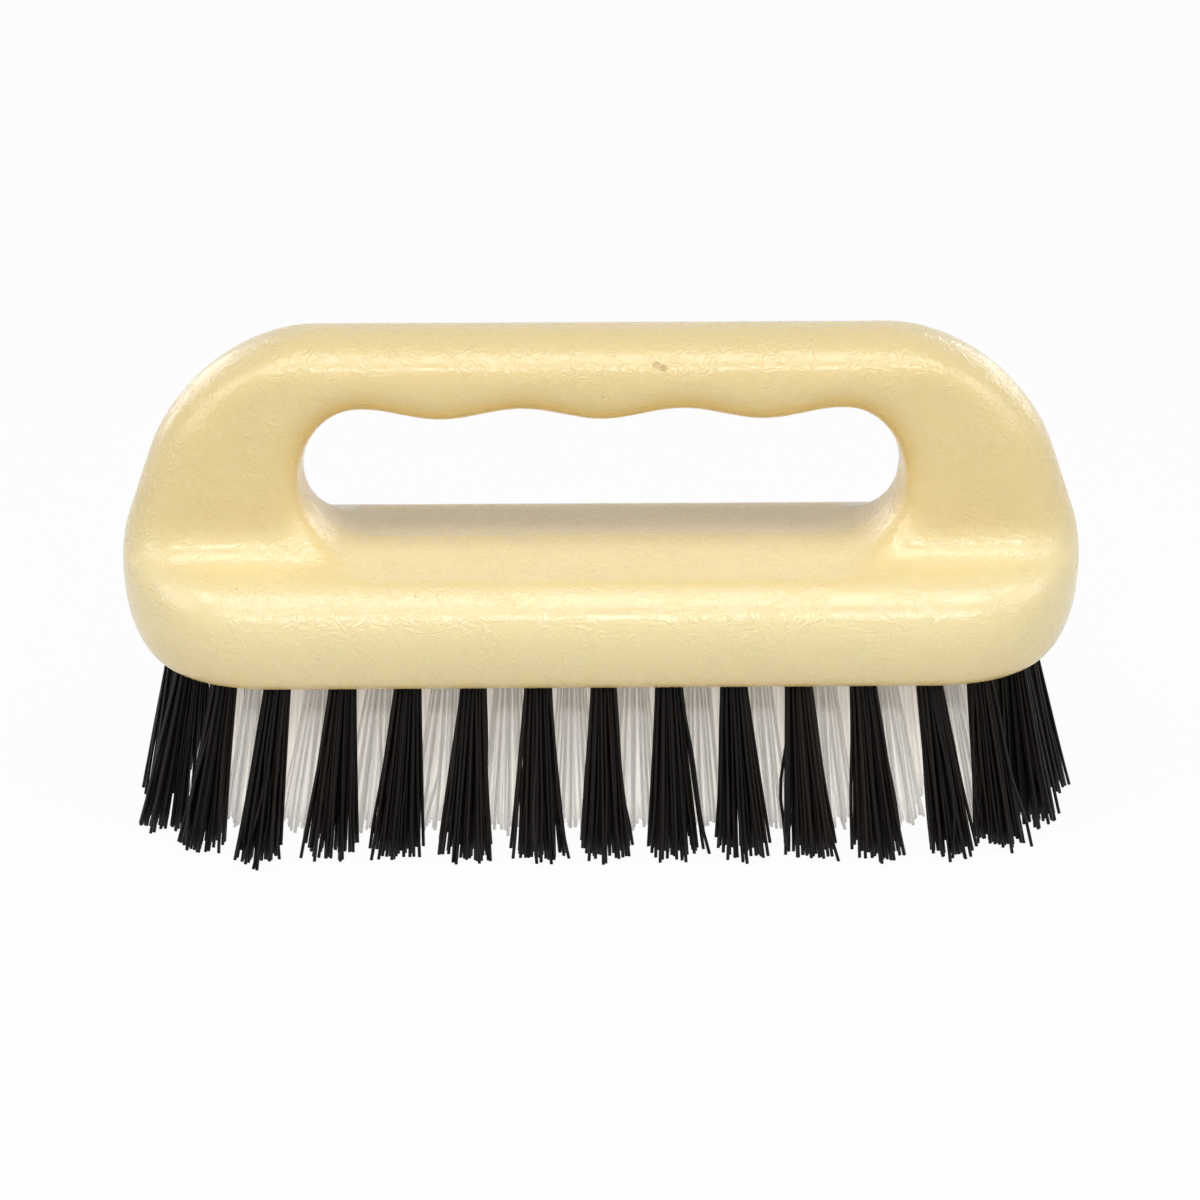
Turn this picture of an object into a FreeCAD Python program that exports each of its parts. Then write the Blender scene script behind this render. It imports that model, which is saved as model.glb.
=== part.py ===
"""Scrub brush with a closed hand grip, in millimetres.

X runs along the brush, Y across it and Z up. The brush stands on its bristle tips,
so the origin is the middle of the plane in which the tips are trimmed.
"""
import FreeCAD
import Part
import math
import os

from FreeCAD import Vector

# Slab of the moulded block, which holds the bristles
block_length = 150.0
block_width = 45.0
block_thickness = 17.4
rim_radius = 2.5
wall_lean_angle = 16.0
end_taper = 2.4
shoulder_radius = 9.4
shoulder_slope_angle = 12.0

# Hand grip, moulded in one with the slab
handle_rise = 34.3
grip_height = 12.75
grip_depth = 18.0
foot_radius = 6.0
foot_drop = 0.5
plumb_depth = 3.8
heel_radius = 25.0
column_lean_angle = 19.4
corner_radius = 30.0
end_fullness_share = 0.6

# Window for the fingers, drafted both ways from the mould's parting plane
column_width = 28.7
window_lower_radius = 11.0
window_upper_radius = 9.3
window_edge_radius = 5.0
finger_groove_count = 4
finger_groove_depth = 1.7
draft_angle = 4.0

# Drilled holes
hole_diameter = 4.4
hole_roof = 5.0

# Tufts: black ones round the edge, white ones in three rows inside
bristle_length = 27.5
lock_count = 12
ragged_cut = 1.6
edge_count = 11
end_count = 5
middle_count = 13
side_inset = 6.0
end_inset = 8.4
inner_end_gap = 8.7
lengthwise_fan_radius = 390.0
crosswise_fan_radius = 82.0
tuft_clearance = 0.05
tip_gap = 0.8
fold_share = 0.6

# Locks of a tuft, in turn: how deep it splits beside each, and how short the lock is cut
split_shares = (0.22, 0.38, 0.16, 0.32)
cut_shares = (0.0, 0.7, 0.3, 1.0, 0.5)

# Anchors: a flat of wire across each hole, in the fold of its tuft
anchor_bite = 0.6
anchor_height = 3.0
anchor_thickness = 0.4
anchor_clearance = 0.03
fold_thickness = 1.1

# Stations of the block's sections: angles on its arcs, shares of an arc or of the upright faces
rim_angles = (90, 60, 35)
wall_shares = (1.0, 0.5, 0.0)
shoulder_shares = (0.25, 0.5, 0.75, 1.0)
upright_shares = (0.12, 0.3, 0.5, 0.7, 0.88, 1.0)
crown_angles = (18, 36, 52, 66, 77, 85)
wave_steps = 4
round_corner_share = 0.5523

# Roundings stop short of the faces that carry them
rounding_limit_share = 0.9
least_wall_share = 0.05

# One overrun serves all cuts, one tolerance all seams
overrun = 5.0
seam_tolerance = 0.03

# Values that follow from the sizes above
drilled_face = bristle_length
crest = bristle_length + block_thickness
half_length = block_length / 2
half_width = block_width / 2
half_grip_depth = grip_depth / 2
half_grip_height = grip_height / 2
lean_out = math.cos(math.radians(column_lean_angle))
lean_up = math.sin(math.radians(column_lean_angle))
lean_offset = (half_length - heel_radius) * lean_out - plumb_depth * lean_up + heel_radius
corner_level = handle_rise - corner_radius
half_bar_length = (lean_offset - corner_level * lean_up - corner_radius) / lean_out
half_window = half_length - column_width
half_ripple_length = half_window - window_upper_radius
window_height = handle_rise - grip_height
draft = math.radians(draft_angle)
wall_lean = math.radians(wall_lean_angle)
shoulder_slope = math.radians(shoulder_slope_angle)
hole_radius = hole_diameter / 2
hole_depth = block_thickness - hole_roof
anchor_top = hole_depth - fold_thickness
anchor_foot = anchor_top - anchor_height
stem_radius = hole_radius - tuft_clearance
outer_row = half_width - side_inset
side_row = outer_row / 2
end_tuft_x = half_length - end_inset
edge_half_length = end_tuft_x - outer_row
middle_half_count = (middle_count - 1) / 2
inner_pitch = (end_tuft_x - inner_end_gap) / middle_half_count


def outline_reach(level):
    """Half the block's length at a level above the crest: end wall, heel arc, leaning column, corner arc."""
    above_plumb = level + plumb_depth
    if above_plumb < 0:
        fall_share = above_plumb / (plumb_depth - block_thickness)
        return half_length - end_taper * fall_share ** 2
    if above_plumb < heel_radius * lean_up:
        return half_length - heel_radius + math.sqrt(heel_radius ** 2 - above_plumb ** 2)
    above_corner = level - corner_level
    if above_corner < corner_radius * lean_up:
        return (lean_offset - level * lean_up) / lean_out
    return half_bar_length + math.sqrt(corner_radius ** 2 - above_corner ** 2)


def fitted_shoulder_radius(spread):
    """The shoulder's radius, as far as the slab's width and thickness leave room for it."""
    across = 1 - math.sin(shoulder_slope)
    wide = spread / across * rounding_limit_share
    rim_height = rim_radius * (1 - math.sin(wall_lean))
    room = block_thickness * (1 - least_wall_share) - foot_drop - rim_height
    fall = math.cos(shoulder_slope) - across * math.tan(shoulder_slope)
    deep = (room - spread * math.tan(shoulder_slope)) / fall
    return min(shoulder_radius, wide, deep)


def block_sections():
    """The block's level sections from the rim up."""
    foot_run = foot_radius * (1 - math.sin(shoulder_slope))
    spread = half_width - half_grip_depth - foot_run
    shoulder = fitted_shoulder_radius(spread)
    slope_run = spread - shoulder * (1 - math.sin(shoulder_slope))
    slope_fall = slope_run * math.tan(shoulder_slope)
    widest = -foot_drop - slope_fall - shoulder * math.cos(shoulder_slope)
    foot_top = foot_radius * math.cos(shoulder_slope) - foot_drop
    return slab_sections(widest) + shoulder_sections(widest, shoulder) + grip_sections(foot_top)


def slab_sections(widest):
    """The rim's arc and the leaning wall above it, drawn in at the ends as much as at the sides."""
    wall_foot = rim_radius * (1 - math.sin(wall_lean)) - block_thickness
    wall_radius = (widest - wall_foot) / math.sin(wall_lean)
    wall_middle = half_width - wall_radius
    rim_middle = wall_middle + (wall_radius - rim_radius) * math.cos(wall_lean)
    places = []
    for angle in map(math.radians, rim_angles):
        level = rim_radius * (1 - math.sin(angle)) - block_thickness
        places.append((level, rim_middle + rim_radius * math.cos(angle)))
    for share in wall_shares:
        angle = share * wall_lean
        level = widest - wall_radius * math.sin(angle)
        places.append((level, wall_middle + wall_radius * math.cos(angle)))
    return [level_section(level, half, half_width - half) for level, half in places]


def shoulder_sections(widest, shoulder):
    """The rounded shoulder, from the widest level up to the slope."""
    sections = []
    for share in shoulder_shares:
        angle = share * (math.pi / 2 - shoulder_slope)
        half = half_width - shoulder * (1 - math.cos(angle))
        sections.append(level_section(widest + shoulder * math.sin(angle), half))
    return sections


def grip_sections(foot_top):
    """The hollow foot of the columns, their upright faces and the round crown."""
    crown_base = handle_rise - half_grip_height
    sections = []
    for share in reversed((0,) + shoulder_shares):
        angle = share * (math.pi / 2 - shoulder_slope)
        half = half_grip_depth + foot_radius * (1 - math.cos(angle))
        sections.append(level_section(foot_top - foot_radius * math.sin(angle), half))
    for share in upright_shares:
        sections.append(level_section(foot_top + share * (crown_base - foot_top), half_grip_depth))
    for angle in map(math.radians, crown_angles):
        level = crown_base + half_grip_height * math.sin(angle)
        sections.append(level_section(level, half_grip_depth * math.cos(angle)))
    return sections


def level_section(level, half, draw_in=0):
    """Straight sides and full round ends, which meet in a slight ridge on the parting plane."""
    reach = outline_reach(level) - draw_in
    side = reach - half
    z = crest + level
    edges = [Part.makeLine(Vector(-side, -half, z), Vector(side, -half, z))]
    edges += round_end(Vector(side, -half, z), Vector(reach, 0, z))
    edges.append(Part.makeLine(Vector(side, half, z), Vector(-side, half, z)))
    edges += round_end(Vector(-side, half, z), Vector(-reach, 0, z))
    return Part.Wire(edges)


def round_end(start, tip):
    """Two curves from one straight side to the other, by way of the tip."""
    along = Vector(tip.x - start.x, 0, 0) * end_fullness_share
    across = Vector(0, start.y, 0) * end_fullness_share
    lean = along * -math.tan(draft)
    far_start = Vector(start.x, -start.y, start.z)
    near = bezier([start, start + along, tip + across + lean, tip])
    return [near, bezier([tip, tip - across + lean, far_start + along, far_start])]


def bezier(poles):
    curve = Part.BezierCurve()
    curve.setPoles(poles)
    return curve.toShape()


def window_outline(y, spread):
    """The window's outline at one depth, larger by spread all round, with the finger grooves on top."""
    floor = crest - spread
    toe = half_window - window_lower_radius
    groove_top = crest + window_height + finger_groove_depth / 2 + spread
    edges = [Part.makeLine(Vector(-toe, y, floor), Vector(toe, y, floor))]
    edges += window_side(1, y, spread, groove_top)
    edges.append(finger_wave(y, groove_top))
    edges += window_side(-1, y, spread, groove_top)[::-1]
    return Part.Wire(edges)


def window_side(side, y, spread, groove_top):
    """One end of the window: a round lower corner, and a curve up to the outermost finger groove."""
    middle = Vector(side * (half_window - window_lower_radius), y, crest + window_lower_radius)
    lower = window_lower_radius + spread
    diagonal = lower * math.sqrt(0.5)
    toe = middle + Vector(0, 0, -lower)
    heel = middle + Vector(side * lower, 0, 0)
    lower_arc = Part.Arc(toe, middle + Vector(side * diagonal, 0, -diagonal), heel).toShape()
    top = Vector(side * half_ripple_length, y, groove_top)
    pull_up = Vector(0, 0, groove_top - heel.z) * round_corner_share
    pull_out = Vector(side * (window_upper_radius + spread), 0, 0) * round_corner_share
    return [lower_arc, bezier([heel, heel + pull_up, top + pull_out, top])]


def finger_wave(y, groove_top):
    """The rippled underside of the grip, from the right end groove to the left one."""
    ripples = finger_groove_count - 1
    steps = wave_steps * ripples
    points = []
    for step in range(steps + 1):
        share = step / steps
        dip = finger_groove_depth * (1 - math.cos(2 * math.pi * ripples * share)) / 2
        points.append(Vector(half_ripple_length * (1 - 2 * share), y, groove_top - dip))
    curve = Part.BSplineCurve()
    curve.interpolate(points, InitialTangent=Vector(-1, 0, 0), FinalTangent=Vector(-1, 0, 0))
    return curve.toShape()


def window_tool(side):
    """One half of the window's space, from the parting plane out past the block's side."""
    depth = half_width + overrun
    inner = window_outline(0, 0)
    outer = window_outline(side * depth, depth * math.tan(draft))
    return Part.makeLoft([inner, outer], True, True)


def rounded_window(body, tools):
    """The body with the window's two mouths rounded over."""
    radius = min(window_edge_radius, rounding_limit_share * (grip_height - finger_groove_depth) / 2)
    mouth = []
    for edge in body.Edges:
        if min(abs(vertex.Y) for vertex in edge.Vertexes) < half_grip_depth / 2:
            continue
        middle = Part.Vertex(edge.valueAt((edge.FirstParameter + edge.LastParameter) / 2))
        if min(tool.distToShape(middle)[0] for tool in tools) < seam_tolerance:
            mouth.append(edge)
    return body.makeFillet(radius, mouth)


def moulded_block():
    """The block as moulded: slab, columns and grip in one, with the window through it."""
    body = Part.makeLoft(block_sections(), True, False)
    tools = [window_tool(-1), window_tool(1)]
    return rounded_window(body.cut(tools), tools)


def tuft_axis(x, y):
    """The mouth of a hole on the drilled face and the way its tuft points, fanned out from the middle."""
    way = Vector(x / lengthwise_fan_radius, y / crosswise_fan_radius, -1)
    return Vector(x, y, drilled_face), way.normalize()


def edge_places():
    """Places of the black tufts, once round the edge."""
    places = []
    for end in (1, -1):
        for step in range(end_count):
            angle = math.pi * ((step + 1) / (end_count + 1) - 0.5)
            x = end * (edge_half_length + outer_row * math.cos(angle))
            places.append((x, end * outer_row * math.sin(angle)))
        for step in range(edge_count):
            x = end * edge_half_length * (1 - 2 * step / (edge_count - 1))
            places.append((x, end * outer_row))
    return places


def middle_places():
    """Places of the white tufts on the middle line."""
    return [((step - middle_half_count) * inner_pitch, 0) for step in range(middle_count)]


def side_places(side):
    """Places of the white tufts in one side row, staggered against the middle row."""
    first = (1 - middle_half_count * 2) / 2
    return [((step + first) * inner_pitch, side * side_row) for step in range(middle_count - 1)]


def tip_middle(place):
    """Where a tuft's axis meets the plane of the tips."""
    mouth, way = tuft_axis(*place)
    return mouth + way * (bristle_length / -way.z)


def tip_radius(place, places):
    """A tuft spreads until it and its nearest neighbour leave the tip gap between them."""
    own = tip_middle(place)
    nearest = min(own.distanceToPoint(tip_middle(other)) for other in places if other != place)
    return (nearest - tip_gap) / 2


def axis_placement(place):
    """Sets what points along -Z on a tuft's axis, with its origin at the hole's mouth."""
    mouth, way = tuft_axis(*place)
    return FreeCAD.Placement(mouth, FreeCAD.Rotation(Vector(0, 0, -1), way))


def placed(shape, place):
    shape.Placement = axis_placement(place)
    return shape


def anchor_box(extra, foot):
    """A flat across a tuft in its fold, larger by extra all round, from the level foot up."""
    length = hole_diameter + 2 * (anchor_bite + extra)
    thickness = anchor_thickness + 2 * extra
    height = anchor_top + extra - foot
    return Part.makeBox(length, thickness, height, Vector(-length / 2, -thickness / 2, foot))


def anchor(place):
    """One anchor, in the fold of its tuft and bitten into both sides of the hole."""
    return placed(anchor_box(0, anchor_foot), place)


def hole_tools(place):
    """A drilled hole, and the groove that the anchor cut on its way in."""
    drill = Part.makeCylinder(hole_radius, hole_depth + overrun, Vector(0, 0, -overrun))
    return [placed(drill, place), placed(anchor_box(anchor_clearance, -overrun), place)]


def tuft(place, places):
    """A bundle of bristles: folded in its hole, and parted below it in locks that spread to uneven tips."""
    fold = tuft_ring(place, stem_radius * fold_share, hole_depth)
    bend = tuft_ring(place, stem_radius, anchor_top)
    mouth = tuft_ring(place, stem_radius, 0)
    partings = [(corner + mouth[lock - 1]) / 2 for lock, corner in enumerate(mouth)]
    ends, splits = tuft_tips(place, places, mouth, partings)
    outlines = [fold, splits]
    for lock in range(lock_count):
        after = (lock + 1) % lock_count
        outlines += [
            [fold[lock], fold[after], bend[after], bend[lock]],
            [bend[lock], bend[after], mouth[after], partings[after], mouth[lock]],
            [mouth[lock], partings[lock], splits[lock]],
            [mouth[lock], splits[lock], ends[lock]],
            [mouth[lock], ends[lock], splits[after]],
            [mouth[lock], splits[after], partings[after]],
            [ends[lock], splits[lock], splits[after]],
        ]
    slot = placed(anchor_box(anchor_clearance, anchor_foot - anchor_clearance), place)
    return flat_faced(outlines).cut(slot)


def tuft_tips(place, places, mouth, partings):
    """The end of each lock, cut more or less short, and of the split before it, in the plane of the tips."""
    number = places.index(place)
    length = bristle_length / -tuft_axis(*place)[1].z
    spread = tip_radius(place, places)
    ends = tuft_ring(place, spread, -length)
    splits = tuft_ring(place, spread, -length, 0.5)
    for lock in range(lock_count):
        short = ragged_cut * cut_shares[(lock + number) % len(cut_shares)]
        deep = split_shares[(lock + number) % len(split_shares)]
        ends[lock] = trimmed(mouth[lock], ends[lock], short)
        split = splits[lock] + (tip_middle(place) - splits[lock]) * deep
        splits[lock] = trimmed(partings[lock], split, 0)
    return ends, splits


def tuft_ring(place, radius, height, turn_share=0):
    """Corners round a tuft's axis at a height above the hole's mouth, turned back by a share of a lock."""
    placement = axis_placement(place)
    ring = []
    for lock in range(lock_count):
        angle = 2 * math.pi * (lock - turn_share) / lock_count
        ring.append(placement.multVec(Vector(radius * math.cos(angle), radius * math.sin(angle), height)))
    return ring


def trimmed(start, end, level):
    """Where the line from start through end meets a level above the plane of the tips."""
    return start + (end - start) * ((start.z - level) / (start.z - end.z))


def flat_faced(outlines):
    """A solid of flat faces."""
    faces = [Part.Face(Part.makePolygon(corners + corners[:1])) for corners in outlines]
    solid = Part.Solid(Part.Shell(faces))
    solid.fix(seam_tolerance, 0, seam_tolerance)
    return solid


def write_node(name, shape):
    shape.exportStep(os.path.join("parts", name + ".step"))


def main():
    os.makedirs("parts", exist_ok=True)
    black = edge_places()
    white_rows = {"front": side_places(-1), "rear": side_places(1)}
    white_middle = middle_places()
    everywhere = black + white_rows["front"] + white_middle + white_rows["rear"]

    holes = [tool for place in everywhere for tool in hole_tools(place)]
    write_node("handle_block", moulded_block().cut(holes))
    for number, place in enumerate(black, 1):
        write_node(f"black_tuft_{number:02d}", tuft(place, everywhere))
    for row, places in white_rows.items():
        for number, place in enumerate(places, 1):
            write_node(f"white_{row}_tuft_{number:02d}", tuft(place, everywhere))
    middle_tufts = [tuft(place, everywhere) for place in white_middle]
    write_node("white_middle_tufts", Part.makeCompound(middle_tufts))
    write_node("tuft_anchors", Part.makeCompound([anchor(place) for place in everywhere]))


main()
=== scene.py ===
"""Looks of the scrub brush: block, bristles, anchors and studio, in metres in the part's frame."""
import math
from collections import namedtuple

import bmesh
import bpy
import numpy as np
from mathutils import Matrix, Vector

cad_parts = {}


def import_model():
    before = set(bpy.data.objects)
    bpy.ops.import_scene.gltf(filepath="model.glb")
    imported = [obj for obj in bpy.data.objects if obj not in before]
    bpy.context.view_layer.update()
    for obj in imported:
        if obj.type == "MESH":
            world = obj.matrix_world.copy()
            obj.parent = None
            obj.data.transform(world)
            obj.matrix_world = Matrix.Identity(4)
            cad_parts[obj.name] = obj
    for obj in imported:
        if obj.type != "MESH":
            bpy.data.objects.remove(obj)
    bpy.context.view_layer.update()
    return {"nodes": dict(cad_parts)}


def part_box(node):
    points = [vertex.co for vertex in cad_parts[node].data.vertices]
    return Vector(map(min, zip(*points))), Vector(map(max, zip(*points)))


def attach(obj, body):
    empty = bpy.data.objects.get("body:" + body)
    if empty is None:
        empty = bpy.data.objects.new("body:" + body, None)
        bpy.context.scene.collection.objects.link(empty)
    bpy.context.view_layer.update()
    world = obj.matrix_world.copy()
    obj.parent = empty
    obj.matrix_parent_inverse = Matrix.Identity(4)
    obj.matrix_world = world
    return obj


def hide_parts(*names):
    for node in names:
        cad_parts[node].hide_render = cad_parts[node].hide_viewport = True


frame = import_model()

MM = 0.001

# Skin of the moulded block
skin_voxel = 0.7 * MM
seam_snap = 0.2 * MM
seam_touch = seam_snap / 100
smoothing_share = 0.5
facet_rounds = 24
facet_return = -0.53
curve_rounds = 90
curve_return = -0.508
hole_lean = (0.0, 0.2, 0.0)
outer_reach = (71.5 * MM, 24.7 * MM, 45.0 * MM)
outer_band = 2.0 * MM
wrinkle_height = 0.025 * MM
grain_height = 0.01 * MM
seam_height = 0.05 * MM
seam_half_width = 0.3 * MM
scar_places = ((8.2 * MM, -8.1 * MM, 75.6 * MM), (9.2 * MM, -8.3 * MM, 75.2 * MM))
scar_radius = 0.75 * MM
scar_core_share = 0.4
scar_depth = 0.1 * MM
# Heights over which the slab's paler tone turns into the handle's deeper one, set by height alone
handle_tone_levels = (41.0 * MM, 54.0 * MM)

# Cream plastic: linear colours, shares of them, and noise scales in features per metre
slab_tone = (0.93, 0.775, 0.41, 1)
handle_tone = (0.87, 0.69, 0.325, 1)
mottle_tone = (0.97, 0.86, 0.58, 1)
# Painted shade: a darker, warmer tone for faces turned down, where less light falls and bounce from the
# slab warms them
painted_underside_shade_tone = (0.8, 0.52, 0.15, 1)
mark_tone = (0.5, 0.29, 0.08, 1)
# Painted highlight: a lighter line of colour along the mould seam's crest
painted_seam_highlight_tone = (0.97, 0.86, 0.6, 1)
cloud_share = 0.6
mottle_share = 0.15
painted_underside_shade_share = 0.6
mark_share = 0.6
painted_seam_highlight_share = 0.6
swirl_scale = 500.0
swirl_detail = 1.5
swirl_distortion = 1.2
swirl_radians = 22.0
patch_scale = 130.0
patch_edges = (0.25, 0.55)
grain_scale = 2200.0
cloud_scale = 70.0
cloud_detail = 5.0
mottle_scale = 700.0
mottle_detail = 3.0
mottle_edges = (0.5, 0.8)
painted_underside_shade_edges = (0.0, -0.9)
speck_scale = 240.0
speck_cell_share = 0.04
speck_patch_scale = 90.0
speck_patch_edge = 0.55

# Filaments and wire: dark and light tones, and noise scales along each axis
black_tones = ((0.002, 0.0018, 0.0016, 1), (0.02, 0.014, 0.011, 1))
white_tones = ((0.9, 0.875, 0.835, 1), (0.98, 0.97, 0.95, 1))
# Painted glow of the white filaments: dim at the block, bright at the tips
glow_tones = ((0.55, 0.52, 0.48, 1), (1.0, 0.98, 0.95, 1))
glow_strength = 0.21
glow_levels = (26.0 * MM, 3.0 * MM)
streak_scales = (6000.0, 6000.0, 400.0)
streak_height = 0.02 * MM
streak_strength = 0.2
wire_tones = ((0.42, 0.42, 0.43, 1), (0.66, 0.66, 0.65, 1))
wire_scales = (300.0, 9000.0, 9000.0)
wire_height = 0.01 * MM
wire_strength = 0.15

# Bristles, each a bundle of filaments that follows its tuft's solid
filament_radius = 0.26 * MM
filament_sides = 6
filament_rings = 10
filaments_per_tuft = 54
mouth_band = 1.0 * MM
tip_band = 3.0 * MM
stem_radius = 1.9 * MM
root_depth = 3.0 * MM
bow_power = 1.1
gather_share = 0.55
tuft_sway = 0.45 * MM
tip_wander = 0.2 * MM
wave_height = 0.14 * MM
cut_spread = 0.7 * MM
cut_limit = 2.6 * MM
stray_share = 0.07
stray_reach = 2.0 * MM
least_stray_share = 0.2
wave_turns = (0.5, 1.3)
stray_wave_share = 4.0
golden_half_turns = 3 - math.sqrt(5)
seed = 7

# Camera
camera_elevation = math.radians(23.0)
camera_azimuth = math.radians(-0.84)
camera_distance = 0.55
camera_target = Vector((-0.3, -2.3, 34.7)) * MM
camera_lens = 105.0
camera_sensor = 36.0
camera_near = 0.01

# Softboxes: elevation and azimuth in degrees, width and height in metres, power in watts
lamp_distance = 1.0
lamps = {
    "top": (72, 0, 1.2, 0.4, 5.1),
    "strip": (40, 0, 0.9, 0.1, 2.75),
    "front": (15, 0, 1.2, 0.5, 0.4),
    "left": (30, -70, 0.6, 0.6, 2.25),
    "right": (30, 70, 0.6, 0.6, 2.25),
    "back_left": (12, -140, 0.6, 0.4, 1.3),
    "back_right": (12, 140, 0.6, 0.4, 1.3),
}
white_floor_share = 0.95
floor_radius = 3.0
floor_sides = 64
floor_tone = (0.9, 0.9, 0.9, 1)
white = (1, 1, 1, 1)

Tuft = namedtuple("Tuft", "mouth way side across angles reaches levels")


def shader_node(tree, kind, inputs=None, **settings):
    """A shader node with its settings, and its sockets set to values or linked."""
    made = tree.nodes.new("ShaderNode" + kind)
    for name, value in settings.items():
        setattr(made, name, value)
    for socket, value in (inputs or {}).items():
        if isinstance(value, bpy.types.NodeSocket):
            tree.links.new(value, made.inputs[socket])
        else:
            made.inputs[socket].default_value = value
    return made


def new_material(name):
    """An empty node material: its tree, and a function that sets its surface."""
    material = bpy.data.materials.new(name)
    material.use_nodes = True
    tree = material.node_tree
    tree.nodes.clear()
    output = tree.nodes.new("ShaderNodeOutputMaterial")

    def surface(socket):
        tree.links.new(socket, output.inputs["Surface"])

    return material, tree, surface


def maths(tree, operation, first, second=0.0, third=0.0):
    return shader_node(tree, "Math", {0: first, 1: second, 2: third}, operation=operation).outputs[0]


def noise(tree, place, scale, detail=2.0, **inputs):
    """Noise of a scale in features per metre."""
    inputs = {"Vector": place, "Scale": scale, "Detail": detail, **inputs}
    return shader_node(tree, "TexNoise", inputs).outputs[0]


def faded(tree, value, start, end):
    """Zero at the start and one at the end, smoothly between."""
    inputs = {0: value, 1: start, 2: end}
    return shader_node(tree, "MapRange", inputs, interpolation_type="SMOOTHSTEP").outputs[0]


def mixed(tree, share, first, second):
    return shader_node(tree, "Mix", {0: share, 6: first, 7: second}, data_type="RGBA").outputs[2]


def bumped(tree, height, strength, distance):
    inputs = {"Height": height, "Strength": strength, "Distance": distance}
    return shader_node(tree, "Bump", inputs).outputs[0]


def streaked(tree, place, scales):
    """Noise with a scale of its own along each axis."""
    stretched = shader_node(tree, "Mapping", {"Vector": place, "Scale": scales}).outputs[0]
    return noise(tree, stretched, 1.0)


def wrinkles(tree, place):
    """Swirling fine folds, deeper in some patches than in others."""
    swirl = noise(tree, place, swirl_scale, swirl_detail, Distortion=swirl_distortion)
    folds = maths(tree, "SINE", maths(tree, "MULTIPLY", swirl, swirl_radians))
    depth = faded(tree, noise(tree, place, patch_scale), *patch_edges)
    return maths(tree, "MULTIPLY", folds, depth)


def scarred(tree, place, spot):
    """One at a spot of the scar and zero beyond its radius."""
    away = shader_node(tree, "VectorMath", {0: place, 1: spot}, operation="DISTANCE").outputs["Value"]
    return faded(tree, away, scar_radius, scar_radius * scar_core_share)


def skin_bump(tree, place, seam, scar):
    """Wrinkles, grain, the seam's ridge and the scar's dent."""
    height = maths(tree, "MULTIPLY", wrinkles(tree, place), wrinkle_height)
    height = maths(tree, "MULTIPLY_ADD", noise(tree, place, grain_scale), grain_height, height)
    height = maths(tree, "MULTIPLY_ADD", seam, seam_height, height)
    height = maths(tree, "MULTIPLY_ADD", scar, -scar_depth, height)
    return bumped(tree, height, 1.0, 1.0)


def specks(tree, place):
    """Few, tiny and in patches."""
    cells = shader_node(tree, "TexVoronoi", {"Vector": place, "Scale": speck_scale}).outputs
    thin = maths(tree, "GREATER_THAN", noise(tree, place, speck_patch_scale), speck_patch_edge)
    return maths(tree, "MULTIPLY", maths(tree, "LESS_THAN", cells["Distance"], speck_cell_share), thin)


def skin_colour(tree, place, level, seam, scar):
    """Paler on the slab than on the handle, mottled, with painted warm shade on faces turned down, specks,
    scar, and a painted highlight along the seam.
    """
    cloud = noise(tree, place, cloud_scale, cloud_detail)
    cloud = maths(tree, "MULTIPLY_ADD", cloud, cloud_share, -cloud_share / 2)
    handle_mix = maths(tree, "ADD", faded(tree, level, *handle_tone_levels), cloud)
    colour = mixed(tree, handle_mix, slab_tone, handle_tone)
    mottle = faded(tree, noise(tree, place, mottle_scale, mottle_detail), *mottle_edges)
    colour = mixed(tree, maths(tree, "MULTIPLY", mottle, mottle_share), colour, mottle_tone)
    # Painted shade: faces that turn downwards get a darker, warmer colour
    normal = shader_node(tree, "NewGeometry").outputs["Normal"]
    facing = shader_node(tree, "SeparateXYZ", {0: normal}).outputs["Z"]
    painted_underside_shade = maths(tree, "MULTIPLY", faded(tree, facing, *painted_underside_shade_edges), painted_underside_shade_share)
    colour = mixed(tree, painted_underside_shade, colour, painted_underside_shade_tone)
    mark = maths(tree, "MULTIPLY", maths(tree, "MAXIMUM", specks(tree, place), scar), mark_share)
    colour = mixed(tree, mark, colour, mark_tone)
    # Painted highlight: the seam's crest is coloured lighter
    return mixed(tree, maths(tree, "MULTIPLY", seam, painted_seam_highlight_share), colour, painted_seam_highlight_tone)


def cream_plastic():
    """Foamed plastic with a fine wrinkled skin, a mould seam, specks and a small scar."""
    material, tree, surface = new_material("cream_plastic")
    place = shader_node(tree, "TexCoord").outputs["Object"]
    axes = shader_node(tree, "SeparateXYZ", {0: place}).outputs
    seam = faded(tree, maths(tree, "ABSOLUTE", axes["Y"]), seam_half_width, 0.0)
    scar = maths(tree, "MAXIMUM", *(scarred(tree, place, spot) for spot in scar_places))
    skin = shader_node(tree, "BsdfPrincipled", {
        "Base Color": skin_colour(tree, place, axes["Z"], seam, scar),
        "Normal": skin_bump(tree, place, seam, scar),
        "Roughness": 0.2,
        "Specular IOR Level": 0.75,
        "Subsurface Weight": 0.15,
        "Subsurface Radius": (1.0, 0.55, 0.2),
        "Subsurface Scale": 2.0 * MM,
    })
    surface(skin.outputs[0])
    return material


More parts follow.
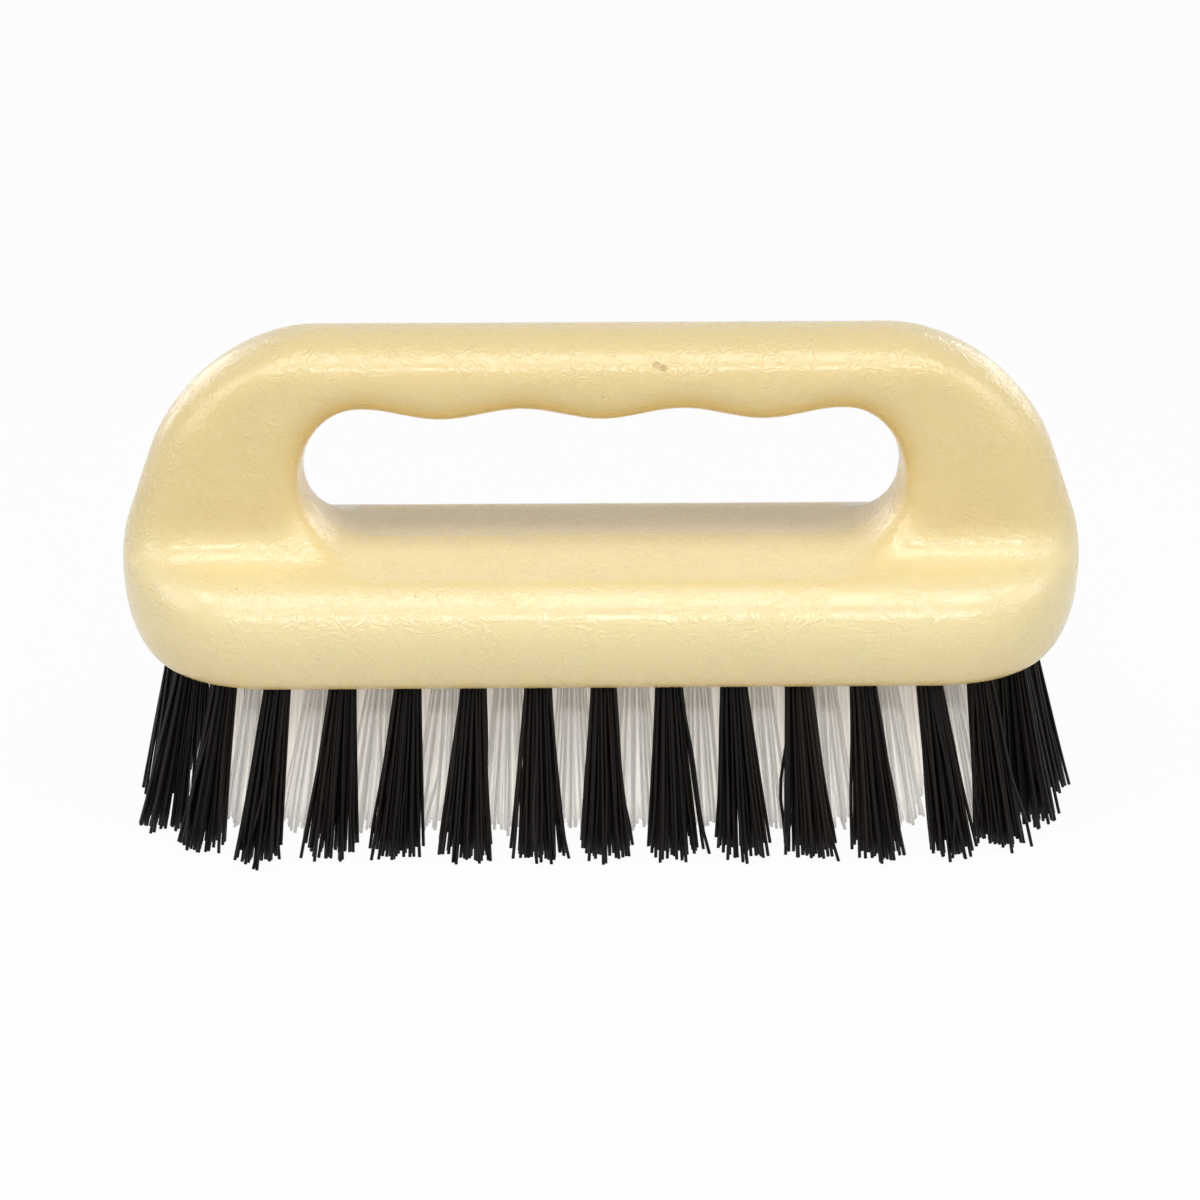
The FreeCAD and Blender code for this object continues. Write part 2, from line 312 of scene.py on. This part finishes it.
def filament(name, dark, light, glow=None, **settings):
    """Drawn filament, each one of its own shade, with fine lengthwise streaks and perhaps a painted glow.
    """
    material, tree, surface = new_material(name)
    shade = shader_node(tree, "Attribute", attribute_name="shade").outputs["Fac"]
    place = shader_node(tree, "TexCoord").outputs["Object"]
    streaks = streaked(tree, place, streak_scales)
    bump = bumped(tree, streaks, streak_strength, streak_height)
    colour = mixed(tree, maths(tree, "MULTIPLY", shade, streaks), dark, light)
    body = shader_node(tree, "BsdfPrincipled", {"Base Color": colour, "Normal": bump})
    for socket, value in settings.items():
        body.inputs[socket.replace("_", " ")].default_value = value
    if glow:
        level = shader_node(tree, "SeparateXYZ", {0: place}).outputs["Z"]
        painted_glow = mixed(tree, faded(tree, level, *glow_levels), *glow)
        tree.links.new(painted_glow, body.inputs["Emission Color"])
    surface(body.outputs[0])
    return material


def black_bristle():
    return filament("black_bristle", *black_tones, Roughness=0.45, Specular_IOR_Level=0.15)


def white_bristle():
    """Milky. A weak painted glow, fading towards the block, stands for light carried up from the cut ends.
    """
    return filament("white_bristle", *white_tones, glow=glow_tones, Roughness=0.4,
                    Emission_Strength=glow_strength)


def anchor_wire():
    """Bright flat wire, drawn lengthwise."""
    material, tree, surface = new_material("anchor_wire")
    place = shader_node(tree, "TexCoord").outputs["Object"]
    lines = streaked(tree, place, wire_scales)
    bump = bumped(tree, lines, wire_strength, wire_height)
    tone = mixed(tree, lines, *wire_tones)
    wire = shader_node(tree, "BsdfPrincipled", {
        "Base Color": tone, "Metallic": 1.0, "Roughness": 0.32, "Normal": bump})
    surface(wire.outputs[0])
    return material


def add_piece(name, mesh, material):
    """A new object with one material, linked to the scene."""
    mesh.materials.clear()
    mesh.materials.append(material)
    mesh.polygons.foreach_set("use_smooth", np.ones(len(mesh.polygons), bool))
    piece = bpy.data.objects.new(name, mesh)
    bpy.context.scene.collection.objects.link(piece)
    return piece


def stand_for(piece, node):
    """The piece rides on the brush in place of a CAD node."""
    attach(piece, "root")
    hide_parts(node)


def evenly_meshed(node):
    """A copy of a node's mesh in even faces, with an edge loop in the mould's parting plane."""
    draft = bpy.data.objects.new("draft", frame["nodes"][node].data.copy())
    bpy.context.scene.collection.objects.link(draft)
    remesh = draft.modifiers.new("even", "REMESH")
    remesh.mode = "VOXEL"
    remesh.voxel_size = skin_voxel
    evaluated = draft.evaluated_get(bpy.context.evaluated_depsgraph_get())
    mesh = bpy.data.meshes.new_from_object(evaluated)
    bpy.data.objects.remove(draft)
    work = bmesh.new()
    work.from_mesh(mesh)
    everything = work.verts[:] + work.edges[:] + work.faces[:]
    bmesh.ops.bisect_plane(work, geom=everything, dist=seam_snap, plane_co=(0, 0, 0), plane_no=(0, 1, 0))
    work.to_mesh(mesh)
    work.free()
    return mesh


def outer_share(points):
    """One on the handle and the outer wall, fading to zero towards the drilled holes."""
    beyond = np.abs(points) + points[:, 2:] * hole_lean - outer_reach
    return np.clip(beyond.max(1) / outer_band, 0, 1)[:, None]


def neighbours(mesh, points):
    """Joined corners, both ways round. A corner on the parting plane only follows others on it."""
    edges = np.empty(len(mesh.edges) * 2, int)
    mesh.edges.foreach_get("vertices", edges)
    edges = edges.reshape(-1, 2)
    both_ways = np.concatenate([edges, edges[:, ::-1]])
    on_seam = np.abs(points[:, 1]) < seam_touch
    return both_ways[~on_seam[both_ways[:, 0]] | on_seam[both_ways[:, 1]]].T


def smooth_out(mesh):
    """Irons out facets, then eases the outer curves. The form hardly shrinks, and its crest stays."""
    points = np.empty(len(mesh.vertices) * 3)
    mesh.vertices.foreach_get("co", points)
    points = points.reshape(-1, 3)
    own, other = neighbours(mesh, points)
    count = np.bincount(own, minlength=len(points))[:, None]
    free = count > 0
    outer = outer_share(points) * free
    shares = [(smoothing_share * free, facet_return * free)] * facet_rounds
    shares += [(smoothing_share * outer, curve_return * outer)] * curve_rounds
    for share in (one for pair in shares for one in pair):
        total = np.stack([np.bincount(own, points[other, axis], len(points)) for axis in range(3)], 1)
        points += share * (total / np.maximum(count, 1) - points)
    mesh.vertices.foreach_set("co", points.ravel())
    mesh.update()


def block_skin(material):
    mesh = evenly_meshed("handle_block")
    smooth_out(mesh)
    piece = add_piece("block_skin", mesh, material)
    stand_for(piece, "handle_block")


def solids_in(node):
    """The corners of each separate solid in a node."""
    work = bmesh.new()
    work.from_mesh(frame["nodes"][node].data)
    bmesh.ops.remove_doubles(work, verts=work.verts, dist=MM / 1000)
    solids = []
    for first in work.verts:
        if first.tag:
            continue
        first.tag = True
        reached = [first]
        for corner in reached:
            for edge in corner.link_edges:
                other = edge.other_vert(corner)
                if not other.tag:
                    other.tag = True
                    reached.append(other)
        solids.append(np.array([corner.co[:] for corner in reached]))
    work.free()
    return solids


def tuft_frame(corners):
    """A tuft's mouth, the way it points, two ways across it, and its ring of lock ends and splits."""
    mouth_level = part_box("handle_block")[0].z
    mouth = corners[np.abs(corners[:, 2] - mouth_level) < mouth_band].mean(0)
    ring = corners[corners[:, 2] < tip_band]
    way = ring.mean(0) - mouth
    way *= -mouth[2] / way[2]
    down = way / np.linalg.norm(way)
    side = np.cross(down, (0.0, 1.0, 0.0))
    side /= np.linalg.norm(side)
    across = np.cross(down, side)
    level = (mouth[2] - ring[:, 2]) / mouth[2]
    offset = ring - mouth - level[:, None] * way
    angle = np.arctan2(offset @ across, offset @ side)
    order = np.argsort(angle)
    reach = np.hypot(offset @ across, offset @ side)
    return Tuft(mouth, way, side, across, angle[order], reach[order], ring[order, 2])


def gathered(angle, lock_angles):
    """Angles drawn towards the middle of the nearest lock."""
    miss = (lock_angles[None] - angle[:, None] + math.pi) % (2 * math.pi) - math.pi
    nearest = miss[np.arange(len(angle)), np.abs(miss).argmin(1)]
    return angle + nearest * gather_share


def round_points(angle, reach):
    """Flat points, each at an angle and a reach from the middle."""
    return reach[:, None] * np.stack([np.cos(angle), np.sin(angle)], 1)


def fanned(tuft, rng):
    """Where filaments leave the hole and where they end, with their angles, shares and strays."""
    odd_locks = tuft.reaches[1::2].sum() > tuft.reaches[::2].sum()
    locks = tuft.angles[int(odd_locks)::2]
    number = np.arange(filaments_per_tuft)
    share = np.sqrt((number + 0.5) / filaments_per_tuft)
    angle = number * math.pi * golden_half_turns + rng.uniform(0, 2 * math.pi)
    root = round_points(angle, stem_radius * share)
    angle = gathered(angle % (2 * math.pi), locks)
    reach = np.interp(angle, tuft.angles, tuft.reaches, period=2 * math.pi) - filament_radius
    stray = rng.random(filaments_per_tuft) < stray_share
    reach += stray * rng.uniform(least_stray_share, 1.0, filaments_per_tuft) * stray_reach
    end = round_points(angle, share * reach)
    end += rng.normal(0, tip_wander, end.shape) + rng.normal(0, tuft_sway, 2)
    return root, end, angle, share, stray


def waves(shape, stray, step, rng):
    """Sideways waves that grow towards the tips, higher in strays."""
    height = wave_height * rng.normal(0, 1, shape) * (1 + stray_wave_share * stray[:, None])
    turns = rng.uniform(*wave_turns, shape)
    phase = rng.uniform(0, 2 * math.pi, shape)
    wave = np.sin(phase[:, None] + 2 * math.pi * turns[:, None] * step)
    return height[:, None] * step * wave


def trimmed(paths, cut):
    """Paths stretched or shortened so that each ends at its cut's level."""
    top = paths[:, :1]
    stretch = (top[..., 2] - cut[:, None]) / (top[..., 2] - paths[:, -1:, 2])
    return top + (paths - top) * stretch[..., None]


def tuft_paths(tuft, rng):
    """Middle lines of a tuft's filaments, fanned from the hole to uneven tips in the tuft's locks."""
    root, end, angle, share, stray = fanned(tuft, rng)
    step = np.linspace(0, 1, filament_rings - 1)[None, :, None]
    spread = root[:, None] + (end - root)[:, None] * step ** bow_power
    spread += waves(root.shape, stray, step, rng)
    free = tuft.mouth + tuft.way * step + spread[..., :1] * tuft.side + spread[..., 1:] * tuft.across
    cut = np.interp(angle, tuft.angles, tuft.levels, period=2 * math.pi) * share ** 2
    cut = np.clip(cut + np.abs(rng.normal(0, cut_spread, filaments_per_tuft)), 0, cut_limit)
    free = trimmed(free, cut)
    sunk = free[:, :1] - tuft.way / np.linalg.norm(tuft.way) * root_depth
    return np.concatenate([sunk, free], 1)


def filament_mesh(name, node, rng):
    """One mesh of all the filaments of a node's tufts, each with its own shade."""
    turn = np.linspace(0, 2 * math.pi, filament_sides, endpoint=False)
    tubes = []
    for corners in solids_in(node):
        tuft = tuft_frame(corners)
        circle = np.cos(turn)[:, None] * tuft.side + np.sin(turn)[:, None] * tuft.across
        tubes.append(tuft_paths(tuft, rng)[:, :, None] + circle * filament_radius)
    tubes = np.concatenate(tubes)
    index = np.arange(tubes[..., 0].size).reshape(tubes.shape[:3])
    beside = np.roll(index, -1, 2)
    walls = np.stack([index[:, :-1], beside[:, :-1], beside[:, 1:], index[:, 1:]], -1)
    faces = walls.reshape(-1, 4).tolist() + index[:, 0, ::-1].tolist() + index[:, -1].tolist()
    mesh = bpy.data.meshes.new(name)
    mesh.from_pydata(tubes.reshape(-1, 3).tolist(), [], faces)
    shade = mesh.attributes.new("shade", "FLOAT", "POINT")
    shade.data.foreach_set("value", np.repeat(rng.random(len(tubes)), filament_rings * filament_sides))
    return mesh


def bristles(materials):
    """A bundle of filaments in place of each tuft."""
    rng = np.random.default_rng(seed)
    for node in sorted(frame["nodes"]):
        colour = node.split("_")[0]
        if colour not in materials:
            continue
        name = node.replace("tuft", "bristle")
        piece = add_piece(name, filament_mesh(name, node, rng), materials[colour])
        stand_for(piece, node)


def anchors(material):
    """The anchors keep their CAD shape."""
    slots = frame["nodes"]["tuft_anchors"].data.materials
    slots.clear()
    slots.append(material)


def seen_rays(tree):
    """One where the floor or the world is seen, directly or in gloss, and zero where it only lights."""
    path = shader_node(tree, "LightPath").outputs
    return maths(tree, "MAXIMUM", path["Is Camera Ray"], path["Is Glossy Ray"])


def floor():
    """A wide white floor that keeps a soft shadow."""
    material, tree, surface = new_material("white_floor")
    paint = shader_node(tree, "BsdfDiffuse", {"Color": floor_tone}).outputs[0]
    bright = shader_node(tree, "Emission", {"Color": white, "Strength": 1.0}).outputs[0]
    share = maths(tree, "MULTIPLY", seen_rays(tree), white_floor_share)
    surface(shader_node(tree, "MixShader", {0: share, 1: paint, 2: bright}).outputs[0])
    mesh = bpy.data.meshes.new("floor")
    work = bmesh.new()
    bmesh.ops.create_circle(work, cap_ends=True, radius=floor_radius, segments=floor_sides)
    work.to_mesh(mesh)
    work.free()
    add_piece("floor", mesh, material)


def world():
    """White where it is seen, and no light of its own."""
    sky = bpy.data.worlds.new("studio")
    bpy.context.scene.world = sky
    sky.use_nodes = True
    tree = sky.node_tree
    tree.nodes.clear()
    light = shader_node(tree, "Background", {"Color": white, "Strength": seen_rays(tree)})
    output = tree.nodes.new("ShaderNodeOutputWorld")
    tree.links.new(light.outputs[0], output.inputs["Surface"])


def aim(thing, elevation, azimuth, distance):
    """Stands a camera or lamp off from the brush, looking at it. Azimuth 0 is in front."""
    flat = math.cos(elevation)
    way = Vector((math.sin(azimuth) * flat, -math.cos(azimuth) * flat, math.sin(elevation)))
    thing.location = camera_target + way * distance
    thing.rotation_euler = way.to_track_quat("Z", "Y").to_euler()
    bpy.context.scene.collection.objects.link(thing)


def softboxes():
    for name, (elevation, azimuth, width, height, power) in lamps.items():
        lamp = bpy.data.lights.new(name, "AREA")
        lamp.shape = "RECTANGLE"
        lamp.size = width
        lamp.size_y = height
        lamp.energy = power
        thing = bpy.data.objects.new(name, lamp)
        aim(thing, math.radians(elevation), math.radians(azimuth), lamp_distance)


def camera():
    lens = bpy.data.cameras.new("camera")
    lens.lens = camera_lens
    lens.sensor_width = camera_sensor
    lens.clip_start = camera_near
    eye = bpy.data.objects.new("camera", lens)
    aim(eye, camera_elevation, camera_azimuth, camera_distance)
    bpy.context.scene.camera = eye


block_skin(cream_plastic())
bristles({"black": black_bristle(), "white": white_bristle()})
anchors(anchor_wire())
floor()
world()
softboxes()
camera()
bpy.context.scene.view_settings.view_transform = "Standard"
